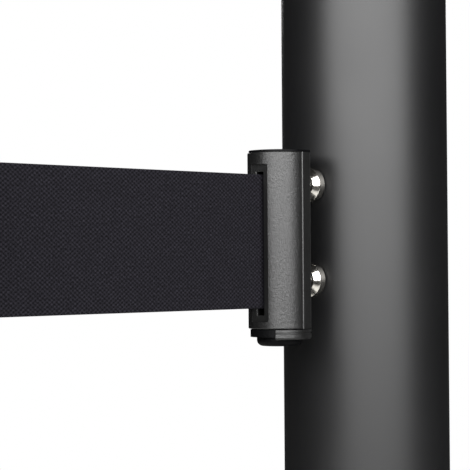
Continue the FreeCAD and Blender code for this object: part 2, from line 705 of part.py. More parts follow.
def case_outline(z0, z1):
    """The case seen from above: round at the front, square with rounded corners at the wall."""
    half = case_back_width / 2
    outline = cyl(case_radius, z0, z1, spool_x).fuse(block(case_back_x, spool_x, -half, half, z0, z1))
    return fillet(outline.removeSplitter(), case_corner, lambda e: is_upright(e)
                  and e.Vertexes[0].Point.x < case_back_x + run_fit)


def make_case():
    z0, z1 = case_levels()
    lid_top = z1 + lid_thickness
    body = case_outline(z0 - case_wall, z1).cut(cyl(case_radius - case_wall, z0, z1 + cut, spool_x))
    bz = belt_width / 2 + bezel_margin
    body = body.cut(block(mouth_face_x - bezel_depth - mouth_opening_depth, mouth_face_x,
                          -bezel_half_width, bezel_half_width, belt_height - bz, belt_height + bz))
    body = fuse(body, cyl(axle_radius + axle_boss, z0 - cut, z0 + axle_boss_rise, spool_x))
    body = body.cut(cyl(axle_radius + run_fit, z0 - axle_hold_below - screw_fit, z0 + cut, spool_x))
    screw_y = case_back_width / 2 - lid_screw_side
    screw_spots = [(case_back_x + lid_screw_inset, y) for y in (-screw_y, screw_y)]
    hole_z = z1 - case_screw_depth - 2 * cut
    for x, y in screw_spots:
        body = body.cut(cyl(case_screw_radius + screw_fit, hole_z, z1 + cut, x, y))

    lid = case_outline(z1, lid_top)
    lid = fillet(lid, lid_edge, lambda e: not is_upright(e) and e.BoundBox.ZMin > lid_top - run_fit)
    lid = lid.cut(cyl(axle_radius + run_fit, z1 - cut, z1 + axle_hold_above + screw_fit, spool_x))
    head_z = lid_top - case_screw_sink
    screws = []
    for x, y in screw_spots:
        lid = lid.cut([cyl(case_screw_radius + screw_fit, z1 - cut, lid_top + cut, x, y),
                       cyl(case_screw_head + screw_fit, head_z, lid_top + cut, x, y)])
        screws.append(fuse(cyl(case_screw_radius, z1 - case_screw_depth, head_z + screw_fit, x, y),
                           cyl(case_screw_head, head_z, head_z + case_screw_head_height, x, y)))
    parts["case_lid"] = lid
    parts["lid_screws"] = compound(screws)
    parts["spool_axle"] = cyl(axle_radius, z0 - axle_hold_below, z1 + axle_hold_above, spool_x)
    parts["case_body"] = make_bracket(body, z0 - case_wall, lid_top)


def make_bracket(body, low, high):
    """A flat steel plate with four wall holes, screwed to the case's back; returns the drilled case."""
    back, plate_x = case_back_x, case_back_x - bracket_thickness
    zc = belt_height
    half_width = case_back_width / 2 + bracket_overhang
    half_height = max(zc - low, high - zc) + bracket_tab
    hole_y, hole_z = half_width - bracket_hole_side, half_height - bracket_hole_end
    plate = block(plate_x, back, -half_width, half_width, zc - half_height, zc + half_height)
    plate = fillet(plate, bracket_corner, lambda e: abs(e.Length - bracket_thickness) < 1e-6)
    for y in (-hole_y, hole_y):
        for z in (zc - hole_z, zc + hole_z):
            plate = plate.cut(rod_x(bracket_hole_radius, plate_x - cut, back + cut, y, z))
    sink_radius = bracket_screw_head + 2 * screw_fit
    sink_depth = bracket_screw_head_height + 2 * screw_fit
    screws = []
    for z in (zc - bracket_screw_up, zc + bracket_screw_up):
        hole = rod_x(case_screw_radius + screw_fit, plate_x - cut,
                     back + bracket_screw_reach + 2 * screw_fit, 0, z)
        sink = Part.makeCone(sink_radius, case_screw_radius + screw_fit, sink_depth,
                             V(plate_x, 0, z), V(1, 0, 0))
        plate = plate.cut([hole, sink])
        body = body.cut(hole)
        head = Part.makeCone(bracket_screw_head, case_screw_radius, bracket_screw_head_height,
                             V(plate_x + screw_fit, 0, z), V(1, 0, 0))
        screws.append(fuse(head, rod_x(case_screw_radius, plate_x + cut, back + bracket_screw_reach, 0, z)))
    parts["wall_bracket"] = plate
    parts["bracket_screws"] = compound(screws)
    return body


def make_mouth():
    """The bezel that the belt comes out of, with a guide roller on each side of the belt."""
    bz = belt_width / 2 + bezel_margin - screw_fit
    x0, x1 = mouth_face_x - bezel_depth, mouth_face_x
    w = bezel_half_width - screw_fit
    bezel = block(x0, x1, -w, w, belt_height - bz, belt_height + bz)
    bezel = fillet(bezel, bezel_corner, lambda e: e.BoundBox.XMin > x1 - run_fit)
    pocket_half = belt_width / 2 + roller_margin
    bezel = bezel.cut(block(x0 - cut, x1 - mouth_wall, -w + bezel_side, w - bezel_side,
                            belt_height - pocket_half, belt_height + pocket_half))
    slot_half = belt_width / 2 + mouth_margin
    bezel = bezel.cut(block(x0, x1 + cut, -mouth_width / 2, mouth_width / 2,
                            belt_height - slot_half, belt_height + slot_half))
    pins = []
    for name, side in (("guide_roller_left", 1), ("guide_roller_right", -1)):
        y = side * roller_y
        half = pocket_half - roller_end_gap
        parts[name] = ring(roller_radius, roller_pin_radius + run_fit, belt_height - half,
                           belt_height + half, roller_x, y)
        pin_half = pocket_half + roller_pin_hold
        pin_z0, pin_z1 = belt_height - pin_half, belt_height + pin_half
        pin_hole = cyl(roller_pin_radius + run_fit, pin_z0 - screw_fit, pin_z1 + screw_fit, roller_x, y)
        bezel = bezel.cut(pin_hole)
        pins.append(cyl(roller_pin_radius, pin_z0, pin_z1, roller_x, y))
    parts["mouth_bezel"] = bezel
    parts["roller_pins"] = compound(pins)


def main():
    for make in (make_base, make_post, make_head, make_belt_end, make_magnets, make_lock, make_belt,
                 make_spool, make_power_spring, make_brake, make_case, make_mouth):
        make()
    os.makedirs("parts", exist_ok=True)
    for name, shape in sorted(parts.items()):
        solids = shape.Solids
        if not solids or not all(s.isValid() and s.Volume > 0 for s in solids):
            raise SystemExit(f"{name} is not a valid closed solid")
        shape.exportStep(f"parts/{name}.step")
        box = shape.BoundBox
        print(f"{name}: {len(solids)} solid(s), {sum(s.Volume for s in solids):.1f} mm3, "
              f"x {box.XMin:.2f}..{box.XMax:.2f} y {box.YMin:.2f}..{box.YMax:.2f} "
              f"z {box.ZMin:.2f}..{box.ZMax:.2f}")


main()
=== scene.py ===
"""Looks of the belt stanchion: coated post, magnetic belt end, webbing belt and its wall retractor."""

import json
import math

import bmesh
import bpy
from mathutils import Matrix, Vector


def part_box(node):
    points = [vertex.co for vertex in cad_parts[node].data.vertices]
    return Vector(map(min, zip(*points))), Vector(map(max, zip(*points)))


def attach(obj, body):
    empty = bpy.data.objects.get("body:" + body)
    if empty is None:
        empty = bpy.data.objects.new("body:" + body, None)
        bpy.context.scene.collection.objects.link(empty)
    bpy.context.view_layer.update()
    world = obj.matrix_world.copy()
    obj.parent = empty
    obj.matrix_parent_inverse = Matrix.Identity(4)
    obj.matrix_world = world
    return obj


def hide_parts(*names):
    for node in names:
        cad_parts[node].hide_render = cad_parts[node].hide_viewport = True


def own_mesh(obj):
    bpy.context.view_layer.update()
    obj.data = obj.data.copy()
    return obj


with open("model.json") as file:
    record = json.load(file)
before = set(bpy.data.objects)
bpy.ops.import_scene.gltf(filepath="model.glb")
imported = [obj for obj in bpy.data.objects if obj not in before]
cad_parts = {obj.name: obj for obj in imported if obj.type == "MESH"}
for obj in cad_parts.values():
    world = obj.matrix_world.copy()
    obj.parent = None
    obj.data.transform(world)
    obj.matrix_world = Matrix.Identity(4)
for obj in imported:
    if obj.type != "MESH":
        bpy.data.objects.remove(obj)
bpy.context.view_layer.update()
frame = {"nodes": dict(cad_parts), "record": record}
scene = bpy.context.scene
MM = 0.001

# ---------------------------------------------------------------- sizes and places
run_low, run_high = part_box("belt_run")
loop_low, loop_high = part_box("belt_loop")
roll_low, roll_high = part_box("belt_roll")
belt_middle = (run_low.z + run_high.z) / 2
belt_width = run_high.z - run_low.z
belt_thickness = run_high.y - run_low.y
joint_facts = {j["name"]: j for j in frame["record"]["behaviour"]["joints"]}
run_length = run_high.x - run_low.x
# The weave is drawn about twice as coarse as woven, so that it shows at the view's distance.
# Each pitch is one over and one under, and goes a whole number of times into the belt.
weft_pitch = run_length / round(run_length / (2.0 * MM))
warp_pitch = belt_width / round(belt_width / (1.4 * MM))
weave_height = 0.12 * MM
steps_per_yarn = 4             # of the mesh, for each pitch
steps_per_wind = 48            # of the mesh, for each turn on the spool
wound_share = 0.92             # of the thickness that a turn on the spool keeps
wound_weave = 4                # times coarser, because a turn on the spool has fewer columns
roll_gap = 0.3 * MM            # from the lead to the roll
spool_middle = joint_facts["spool_spin"]["pos_m"]
core_radius = 9.0 * MM         # of the spool that the belt winds on
roll_radius = (roll_high.y - roll_low.y) / 2
roller_place = joint_facts["left_roller_spin"]["pos_m"]

# The camera stands in front of the post, towards the retractor, level with the belt.
camera_turn = math.radians(-47.62)     # about the post, from a view along +Y
camera_back = 0.6974                   # from the post's axis
camera_side = -0.0498                  # to the left of the post's axis
camera_drop = 0.0077                   # below the belt's middle
camera_pitch = math.radians(0.882)
camera_roll = math.radians(-0.417)
camera_lens = 139.6
camera_sensor = 36.0

MATH = "ShaderNodeMath"
VECTOR_MATH = "ShaderNodeVectorMath"
NOISE = "ShaderNodeTexNoise"
RANGE = "ShaderNodeMapRange"       # its inputs go value, from low, from high, to low, to high
TAU = 2 * math.pi


# ---------------------------------------------------------------- small helpers
def srgb(code):
    """An sRGB hex colour as linear RGBA."""
    parts = [int(code[i:i + 2], 16) / 255 for i in (1, 3, 5)]
    return [p / 12.92 if p <= 0.04045 else ((p + 0.055) / 1.055) ** 2.4 for p in parts] + [1.0]


def feed(tree, node, inputs):
    """Links each input given as a node or a socket and sets any other, by its name or its order."""
    pairs = inputs.items() if isinstance(inputs, dict) else enumerate(inputs)
    for key, value in pairs:
        if isinstance(value, bpy.types.Node):
            value = value.outputs[0]
        if isinstance(value, bpy.types.NodeSocket):
            tree.links.new(value, node.inputs[key])
        else:
            node.inputs[key].default_value = value


def add(tree, kind, inputs=(), **settings):
    """Adds a node with its settings and its inputs."""
    node = tree.nodes.new(kind)
    for key, value in settings.items():
        setattr(node, key, value)
    feed(tree, node, inputs)
    return node


def new_object(name, mesh):
    o = bpy.data.objects.new(name, mesh)
    scene.collection.objects.link(o)
    return o


def geometry_tree(name, sizes):
    """A geometry tree with a named input for each (label, kind, value), and its two ends."""
    tree = bpy.data.node_groups.new(name, "GeometryNodeTree")
    tree.interface.new_socket("Geometry", in_out="INPUT", socket_type="NodeSocketGeometry")
    for label, kind, value in sizes:
        socket = tree.interface.new_socket(label, in_out="INPUT", socket_type="NodeSocket" + kind)
        if value is not None:
            socket.default_value = value
    tree.interface.new_socket("Geometry", in_out="OUTPUT", socket_type="NodeSocketGeometry")
    return tree, add(tree, "NodeGroupInput").outputs, add(tree, "NodeGroupOutput").inputs[0]


def points_mesh(name, points, joined=True):
    """The points as a mesh, joined by edges in their order or left loose."""
    mesh = bpy.data.meshes.new(name)
    edges = [(i, i + 1) for i in range(len(points) - 1)] if joined else []
    mesh.from_pydata([tuple(p) for p in points], edges, [])
    return mesh


def grow(name, mesh, tree, sizes, sharp=40.0):
    """What the tree makes of the mesh, as a plain closed mesh with outward faces."""
    host = new_object(name, mesh)
    nodes = host.modifiers.new("make", "NODES")
    nodes.node_group = tree
    for item in tree.interface.items_tree:
        if item.in_out == "INPUT" and item.name in sizes:
            nodes[item.identifier] = sizes[item.name]
    made = bpy.data.meshes.new_from_object(host.evaluated_get(bpy.context.evaluated_depsgraph_get()))
    host.modifiers.clear()
    host.data = made
    made.name = name
    return outward(host, sharp)


def outward(o, sharp):
    """Merges doubles, turns the faces outwards and shades them smooth up to the sharp angle."""
    work = bmesh.new()
    work.from_mesh(o.data)
    bmesh.ops.remove_doubles(work, verts=work.verts, dist=1e-6)
    bmesh.ops.dissolve_degenerate(work, edges=work.edges, dist=1e-7)
    bmesh.ops.recalc_face_normals(work, faces=work.faces)
    for face in work.faces:
        face.smooth = True
    work.to_mesh(o.data)
    work.free()
    o.data.set_sharp_from_angle(angle=math.radians(sharp))
    return o


def place(o, body, slot, *nodes):
    """The piece rides on the body and stands for the nodes, which it hides. The slot is not used."""
    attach(o, body)
    if nodes:
        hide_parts(*nodes)
    return o


# ---------------------------------------------------------------- materials
def start(name, colour, roughness, metallic=0.0, ior=1.5):
    """A material, its tree and shader, and its object coordinates in millimetres.

    A texture's scale on these coordinates is its features per millimetre.
    """
    m = bpy.data.materials.new(name)
    m.use_nodes = True
    m.diffuse_color = srgb(colour)
    tree = m.node_tree
    shader = tree.nodes["Principled BSDF"]
    feed(tree, shader, {"Base Color": srgb(colour), "Roughness": roughness, "Metallic": metallic,
                        "IOR": ior})
    metres = add(tree, "ShaderNodeTexCoord").outputs["Object"]
    spot = add(tree, VECTOR_MATH, (metres, (1 / MM,) * 3), operation="MULTIPLY")
    return m, tree, shader, spot


def powder_coat():
    # Polyester powder coat, sprayed and baked: deep black, with a fine satin orange peel.
    m, tree, shader, spot = start("satin black powder coat", "#060607", 0.44)
    peel = add(tree, NOISE, {"Vector": spot, "Scale": 1.1, "Detail": 3.0})
    grain = add(tree, NOISE, {"Vector": spot, "Scale": 5.0, "Detail": 2.0})
    dust = add(tree, NOISE, {"Vector": spot, "Scale": 0.03, "Detail": 4.0})
    rough = add(tree, RANGE, (dust, 0, 1, 0.42, 0.48))
    relief = add(tree, MATH, (peel, grain), operation="ADD")
    bump = add(tree, "ShaderNodeBump", {"Strength": 0.25, "Distance": 0.02 * MM, "Height": relief})
    feed(tree, shader, {"Roughness": rough, "Normal": bump})
    return m


def moulded_nylon(name, colour, roughness):
    # Glass-filled nylon from a spark-eroded mould: a pitted, slightly greyed texture, with the
    # glass showing as a mottle of about a millimetre.
    m, tree, shader, spot = start(name, colour, roughness, ior=1.53)
    pits = add(tree, NOISE, {"Vector": spot, "Scale": 0.9, "Detail": 5.0, "Roughness": 0.75})
    flow = add(tree, NOISE, {"Vector": spot, "Scale": 0.12, "Detail": 3.0})
    tone = add(tree, RANGE, (pits, 0.3, 0.7, 0.75, 1.25))
    mottle = add(tree, VECTOR_MATH, {0: srgb(colour)[:3], "Scale": tone}, operation="SCALE")
    rough = add(tree, RANGE, (flow, 0, 1, roughness - 0.04, roughness + 0.04))
    bump = add(tree, "ShaderNodeBump", {"Strength": 1.0, "Distance": 0.12 * MM, "Height": pits})
    feed(tree, shader, {"Base Color": mottle, "Roughness": rough, "Normal": bump})
    return m


def black_acetal():
    # Acetal from a lightly etched mould: near black and almost matt, with faint scuffs.
    m, tree, shader, spot = start("moulded black acetal", "#040405", 0.5, ior=1.48)
    scuff = add(tree, NOISE, {"Vector": spot, "Scale": 0.9, "Detail": 5.0, "Roughness": 0.7})
    rough = add(tree, RANGE, (scuff, 0.35, 0.7, 0.44, 0.58))
    bump = add(tree, "ShaderNodeBump", {"Strength": 0.2, "Distance": 0.01 * MM, "Height": scuff})
    feed(tree, shader, {"Roughness": rough, "Normal": bump, "Specular IOR Level": 0.08})
    return m


def webbing():
    # Woven polyester webbing in a navy black dye: matt, in a plain weave, with a little colour from
    # yarn to yarn, and with painted shade where the yarns dip under and a painted highlight where they ride
    # over.
    dye = "#161519"
    m, tree, shader, _ = start("woven polyester webbing", dye, 0.9)
    flat = add(tree, "ShaderNodeUVMap", uv_map="UVMap")
    cloth = add(tree, VECTOR_MATH, (flat, (1 / MM,) * 3), operation="MULTIPLY")
    # The cosine of each direction's place in the weave, taken as the sine a quarter turn on.
    turns = (TAU / (weft_pitch / MM), TAU / (warp_pitch / MM), 1)
    phase = add(tree, VECTOR_MATH, (cloth, turns), operation="MULTIPLY")
    ahead = add(tree, VECTOR_MATH, (phase, (TAU / 4,) * 3), operation="ADD")
    waves = add(tree, "ShaderNodeSeparateXYZ", (add(tree, VECTOR_MATH, (ahead,), operation="SINE"),))
    over = add(tree, MATH, (waves.outputs[0], waves.outputs[1]), operation="MULTIPLY")
    fuzz = add(tree, NOISE, {"Vector": cloth, "Scale": 1.2, "Detail": 4.0, "Roughness": 0.7})
    worn = add(tree, NOISE, {"Vector": cloth, "Scale": 0.15, "Detail": 3.0})
    # Painted shade and highlight of the weave: the colour darkens where a yarn dips under and lightens
    # where it rides over. It carries on into woven, tone and the base colour.
    painted_weave_shading = add(tree, RANGE, (over, -1, 1, 0.3, 1.7))
    fuzz_tone = add(tree, RANGE, (fuzz, 0.3, 0.7, 0.3, 1.7))
    worn_tone = add(tree, RANGE, (worn, 0.3, 0.7, 0.94, 1.06))
    woven = add(tree, MATH, (painted_weave_shading, fuzz_tone), operation="MULTIPLY")
    tone = add(tree, MATH, (woven, worn_tone), operation="MULTIPLY")
    # The dye times the painted weave shading, the fuzz and the wear.
    dye_and_weave_shading = add(tree, VECTOR_MATH, {0: srgb(dye)[:3], "Scale": tone}, operation="SCALE")
    bump = add(tree, "ShaderNodeBump", {"Strength": 0.5, "Distance": 0.05 * MM, "Height": fuzz})
    feed(tree, shader, {"Base Color": dye_and_weave_shading, "Normal": bump, "Specular IOR Level": 0.06})
    return m


def metal(name, colour, roughness, grain, strength):
    """A plated or bare metal with an all-over grain of the given size in millimetres."""
    m, tree, shader, spot = start(name, colour, roughness, metallic=1.0)
    noise = add(tree, NOISE, {"Vector": spot, "Scale": 1 / grain, "Detail": 4.0})
    rough = add(tree, RANGE, (noise, 0.3, 0.7, roughness * 0.8, roughness * 1.25))
    bump = add(tree, "ShaderNodeBump", {"Strength": strength, "Distance": 0.02 * MM, "Height": noise})
    feed(tree, shader, {"Roughness": rough, "Normal": bump})
    return m


def dull(name, colour, roughness, grain, depth):
    """A rough unplated surface, with a grain of the given size and depth in millimetres."""
    m, tree, shader, spot = start(name, colour, roughness)
    noise = add(tree, NOISE, {"Vector": spot, "Scale": 1 / grain, "Detail": 6.0, "Roughness": 0.7})
    tone = add(tree, RANGE, (noise, 0.3, 0.7, 0.8, 1.2))
    mottle = add(tree, VECTOR_MATH, {0: srgb(colour)[:3], "Scale": tone}, operation="SCALE")
    bump = add(tree, "ShaderNodeBump", {"Strength": 0.6, "Distance": depth * MM, "Height": noise})
    feed(tree, shader, {"Base Color": mottle, "Normal": bump})
    return m


coat = powder_coat()
end_nylon = moulded_nylon("moulded grey-black nylon", "#0d0d0d", 0.36)
case_nylon = moulded_nylon("moulded black nylon", "#0b0b0c", 0.46)
acetal_black = black_acetal()
belt_cloth = webbing()
# Drawn steel, polished and plated: a slightly warm mirror.
nickel = metal("bright nickel plate", "#d8d4cd", 0.16, 0.8, 0.08)
# Steel plated in a barrel: pale grey, with a soft broken shine.
zinc = metal("zinc plated steel", "#b9bbbf", 0.32, 0.5, 0.3)
# Rolled strip, hardened and blued: dark steel blue, with an even shine.
spring_strip = metal("blued spring steel", "#5a6270", 0.3, 0.3, 0.2)
# Pressed powder, sintered and oiled: dull golden brown, with fine pores.
bronze = metal("sintered bronze", "#a9793f", 0.45, 0.25, 0.6)
# Iron as it leaves the sand: dark grey, matt and coarse.
iron = dull("sand cast iron", "#3a3a3c", 0.75, 1.2, 0.25)
# Rubber pressed in a mould: charcoal grey and matt.
rubber = dull("moulded rubber", "#1a1a1a", 0.8, 0.6, 0.05)
# Pressed and fired powder, ground flat: dark blue-grey, with a faint gloss.
ferrite = dull("sintered ferrite", "#2a2b2e", 0.5, 0.3, 0.02)
# Fibre and resin pressed together: dark brown, matt and speckled.
lining = dull("moulded brake lining", "#3a2f28", 0.85, 0.5, 0.08)
# Undyed acetal, turned: milky white, with a slight gloss.
acetal_white = dull("natural acetal", "#d9d7cf", 0.4, 1.5, 0.01)

finish_of_slot = {
    "black_coat": coat, "cast_iron": iron, "rubber": rubber, "zinc_steel": zinc, "head_plastic": case_nylon,
    "end_plastic": end_nylon, "lock_plastic": acetal_black, "webbing": belt_cloth, "nickel": nickel,
    "magnet": ferrite, "spring_steel": spring_strip, "bronze": bronze, "acetal": acetal_white,
    "brake_lining": lining,
}


# ---------------------------------------------------------------- webbing
def webbing_tree():
    """A strip of plain-woven webbing that stands on edge along a path.

    It is a grid whose rows follow the path and whose columns go once round the strip's section.
    """
    tree, given, out = geometry_tree("webbing strip", [
        ("Width", "Float", belt_width), ("Thickness", "Float", belt_thickness),
        ("Weft pitch", "Float", weft_pitch), ("Warp pitch", "Float", warp_pitch),
        ("Weave height", "Float", weave_height), ("Rows", "Int", 100), ("Columns", "Int", 24),
        ("Finish", "Material", None)])
    around = add(tree, MATH, (given["Columns"], 2, 1), operation="MULTIPLY_ADD")
    rows = add(tree, MATH, (given["Rows"], 3), operation="ADD")
    grid = add(tree, "GeometryNodeMeshGrid", {"Vertices X": rows, "Vertices Y": around})
    index = add(tree, "GeometryNodeInputIndex")
    column = add(tree, MATH, (index, around), operation="MODULO")
    row_start = add(tree, MATH, (index, column), operation="SUBTRACT")
    row = add(tree, MATH, (row_start, around), operation="DIVIDE")
    path = add(tree, "GeometryNodeMeshToCurve", {"Mesh": given["Geometry"]})
    total = add(tree, "GeometryNodeCurveLength", (path,))

    # The first and last rows lie on their neighbours' middle, which closes the strip's ends.
    row_inside = add(tree, MATH, (row, 1), operation="SUBTRACT")
    nearest = add(tree, "ShaderNodeClamp", (row_inside, 0, given["Rows"]))
    is_open = add(tree, MATH, (row_inside, nearest, 0.5), operation="COMPARE")
    share = add(tree, MATH, (nearest, given["Rows"]), operation="DIVIDE")
    along = add(tree, MATH, (share, total), operation="MULTIPLY")

    # Round the section: up one side, then down the other.
    turn = add(tree, MATH, (column, given["Columns"]), operation="DIVIDE")
    climb = add(tree, MATH, (turn, 1), operation="PINGPONG")
    height = add(tree, MATH, (climb, 0.5), operation="SUBTRACT")
    up = add(tree, MATH, (height, given["Width"]), operation="MULTIPLY")
    is_front = add(tree, MATH, (turn, 1), operation="LESS_THAN")
    side = add(tree, MATH, (is_front, 2, -1), operation="MULTIPLY_ADD")

    # The weave goes from -1 where a yarn is under to 0 where it is over, so the strip never swells.
    wefts = add(tree, MATH, (along, given["Weft pitch"]), operation="DIVIDE")
    weft_turn = add(tree, MATH, (wefts, TAU), operation="MULTIPLY")
    weft = add(tree, MATH, (weft_turn,), operation="COSINE")
    warps = add(tree, MATH, (up, given["Warp pitch"]), operation="DIVIDE")
    warp_turn = add(tree, MATH, (warps, TAU), operation="MULTIPLY")
    warp = add(tree, MATH, (warp_turn,), operation="COSINE")
    crossing = add(tree, MATH, (weft, warp), operation="MULTIPLY")
    over = add(tree, MATH, (crossing, side), operation="MULTIPLY")
    weave = add(tree, MATH, (over, 0.5, -0.5), operation="MULTIPLY_ADD")

    # The section rounds off to nothing at its two edges.
    half_width = add(tree, MATH, (given["Width"], 0.5), operation="MULTIPLY")
    off_middle = add(tree, MATH, (up,), operation="ABSOLUTE")
    to_edge = add(tree, MATH, (half_width, off_middle), operation="SUBTRACT")
    thicknesses = add(tree, MATH, (to_edge, given["Thickness"]), operation="DIVIDE")
    near = add(tree, MATH, (thicknesses, 1), operation="MINIMUM")
    short = add(tree, MATH, (1, near), operation="SUBTRACT")
    short_squared = add(tree, MATH, (short, 2), operation="POWER")
    fullness = add(tree, MATH, (1, short_squared), operation="SUBTRACT")
    round_off = add(tree, MATH, (fullness,), operation="SQRT")
    relief = add(tree, MATH, (weave, given["Weave height"]), operation="MULTIPLY")
    half = add(tree, MATH, (given["Thickness"], 0.5, relief), operation="MULTIPLY_ADD")
    rounded = add(tree, MATH, (half, round_off), operation="MULTIPLY")
    sided = add(tree, MATH, (rounded, side), operation="MULTIPLY")
    out_by = add(tree, MATH, (sided, is_open), operation="MULTIPLY")

    spot = add(tree, "GeometryNodeSampleCurve", {"Curves": path, "Length": along}, mode="LENGTH",
               use_all_curves=True)
    across = add(tree, VECTOR_MATH, ((0, 0, 1), spot.outputs["Tangent"]), operation="CROSS_PRODUCT")
    outward_step = add(tree, VECTOR_MATH, {0: across, "Scale": out_by}, operation="SCALE")
    level = add(tree, "ShaderNodeCombineXYZ", {"Z": up})
    step = add(tree, VECTOR_MATH, (outward_step, level), operation="ADD")
    position = add(tree, VECTOR_MATH, (spot.outputs["Position"], step), operation="ADD")
    shaped = add(tree, "GeometryNodeSetPosition", {"Geometry": grid, "Position": position})

    # The UV map, in metres, is worked out at the grid's points, and its corners take it from there.
    cloth = add(tree, "ShaderNodeCombineXYZ", {"X": along, "Y": up})
    at_points = add(tree, "GeometryNodeFieldOnDomain", {"Value": cloth}, data_type="FLOAT_VECTOR",
                    domain="POINT")
    mapped = add(tree, "GeometryNodeStoreNamedAttribute",
                 {"Geometry": shaped, "Name": "UVMap", "Value": at_points},
                 data_type="FLOAT2", domain="CORNER")
    real = add(tree, "GeometryNodeRealizeInstances", (mapped,))
    done = add(tree, "GeometryNodeSetMaterial", {"Geometry": real, "Material": given["Finish"]})
    tree.links.new(done.outputs[0], out)
    return tree


def arc_points(middle, radius, start, end, count):
    """Points round a level circle from one angle to another, in radians."""
    spots = [start + (end - start) * i / count for i in range(count + 1)]
    return [(middle[0] + radius * math.cos(a), middle[1] + radius * math.sin(a), middle[2]) for a in spots]


def make_webbing():
    """The belt's four pieces, each along its own path."""
    tree = webbing_tree()
    make_run(tree)
    make_loop(tree)
    make_lead(tree)
    make_winding(tree)


def make_run(tree):
    """The run that shows: straight, from the roller to inside the belt end."""
    z = belt_middle
    rows = round(run_length / weft_pitch) * steps_per_yarn
    columns = round(belt_width / warp_pitch) * steps_per_yarn
    run = grow("belt_webbing", points_mesh("run", [(run_low.x, 0, z), (run_high.x, 0, z)]), tree,
               {"Rows": rows, "Columns": columns, "Finish": belt_cloth})
    place(run, "root", "webbing", "belt_run")
    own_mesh(run)


def make_loop(tree):
    """The sewn loop round the pin in the belt end."""
    z = belt_middle
    half = belt_thickness / 2
    pin_low, pin_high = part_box("belt_pin")
    pin = ((pin_low.x + pin_high.x) / 2, 0, z)
    turn_radius = (loop_high.y - loop_low.y) / 2 - half
    wrap = math.radians(25)                    # short of half a turn on each side of the pin
    closing = pin[0] - turn_radius * 1.9       # where the two strands meet and lie together
    loop = [(loop_low.x, half, z), (closing, half, z)]
    loop += arc_points(pin, turn_radius, math.pi - wrap, -math.pi + wrap, count=40)
    loop += [(closing, -half, z), (loop_low.x, -half, z)]
    columns = round(belt_width / warp_pitch) * steps_per_yarn
    loop_piece = grow("belt_loop_webbing", points_mesh("loop", loop), tree,
                      {"Rows": 90, "Columns": columns, "Finish": belt_cloth})
    place(loop_piece, "belt_end", "webbing", "belt_loop")


def make_lead(tree):
    """The stretch inside the retractor: round the left roller and straight to the roll."""
    z = belt_middle
    near, far = roller_place[1], roll_radius + belt_thickness / 2 + roll_gap
    dx, dy = spool_middle[0] - roller_place[0], -roller_place[1]
    apart = math.hypot(dx, dy)
    heading = math.atan2(dy, dx) % TAU - math.asin((near + far) / apart)
    bend = arc_points((roller_place[0], roller_place[1], z), near, -TAU / 4, heading - TAU * 3 / 4,
                      count=16)
    straight = math.sqrt(apart ** 2 - (near + far) ** 2)
    last = (bend[-1][0] + straight * math.cos(heading), bend[-1][1] + straight * math.sin(heading), z)
    lead_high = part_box("belt_lead")[1]
    lead = grow("belt_lead_webbing", points_mesh("lead", [(lead_high.x, 0, z)] + bend + [last]), tree,
                {"Rows": 120, "Columns": 30, "Finish": belt_cloth})
    place(lead, "root", "webbing", "belt_lead")


def make_winding(tree):
    """The rest of the belt, wound on the spool turn on turn."""
    pitch = belt_thickness
    turns = (roll_radius - core_radius) / pitch - 1
    steps = int(turns * steps_per_wind)
    spiral = []
    for i in range(steps + 1):
        angle = TAU * turns * i / steps
        radius = core_radius + pitch / 2 + pitch * angle / TAU
        spiral.append((spool_middle[0] + radius * math.cos(angle), radius * math.sin(angle), belt_middle))
    winding = grow("belt_winding", points_mesh("winding", spiral), tree,
                   {"Rows": steps, "Columns": 16, "Thickness": belt_thickness * wound_share,
                    "Weave height": weave_height / 2, "Weft pitch": wound_weave * weft_pitch,
                    "Warp pitch": wound_weave * warp_pitch, "Finish": belt_cloth})
    place(winding, "belt_spool", "webbing", "belt_roll")


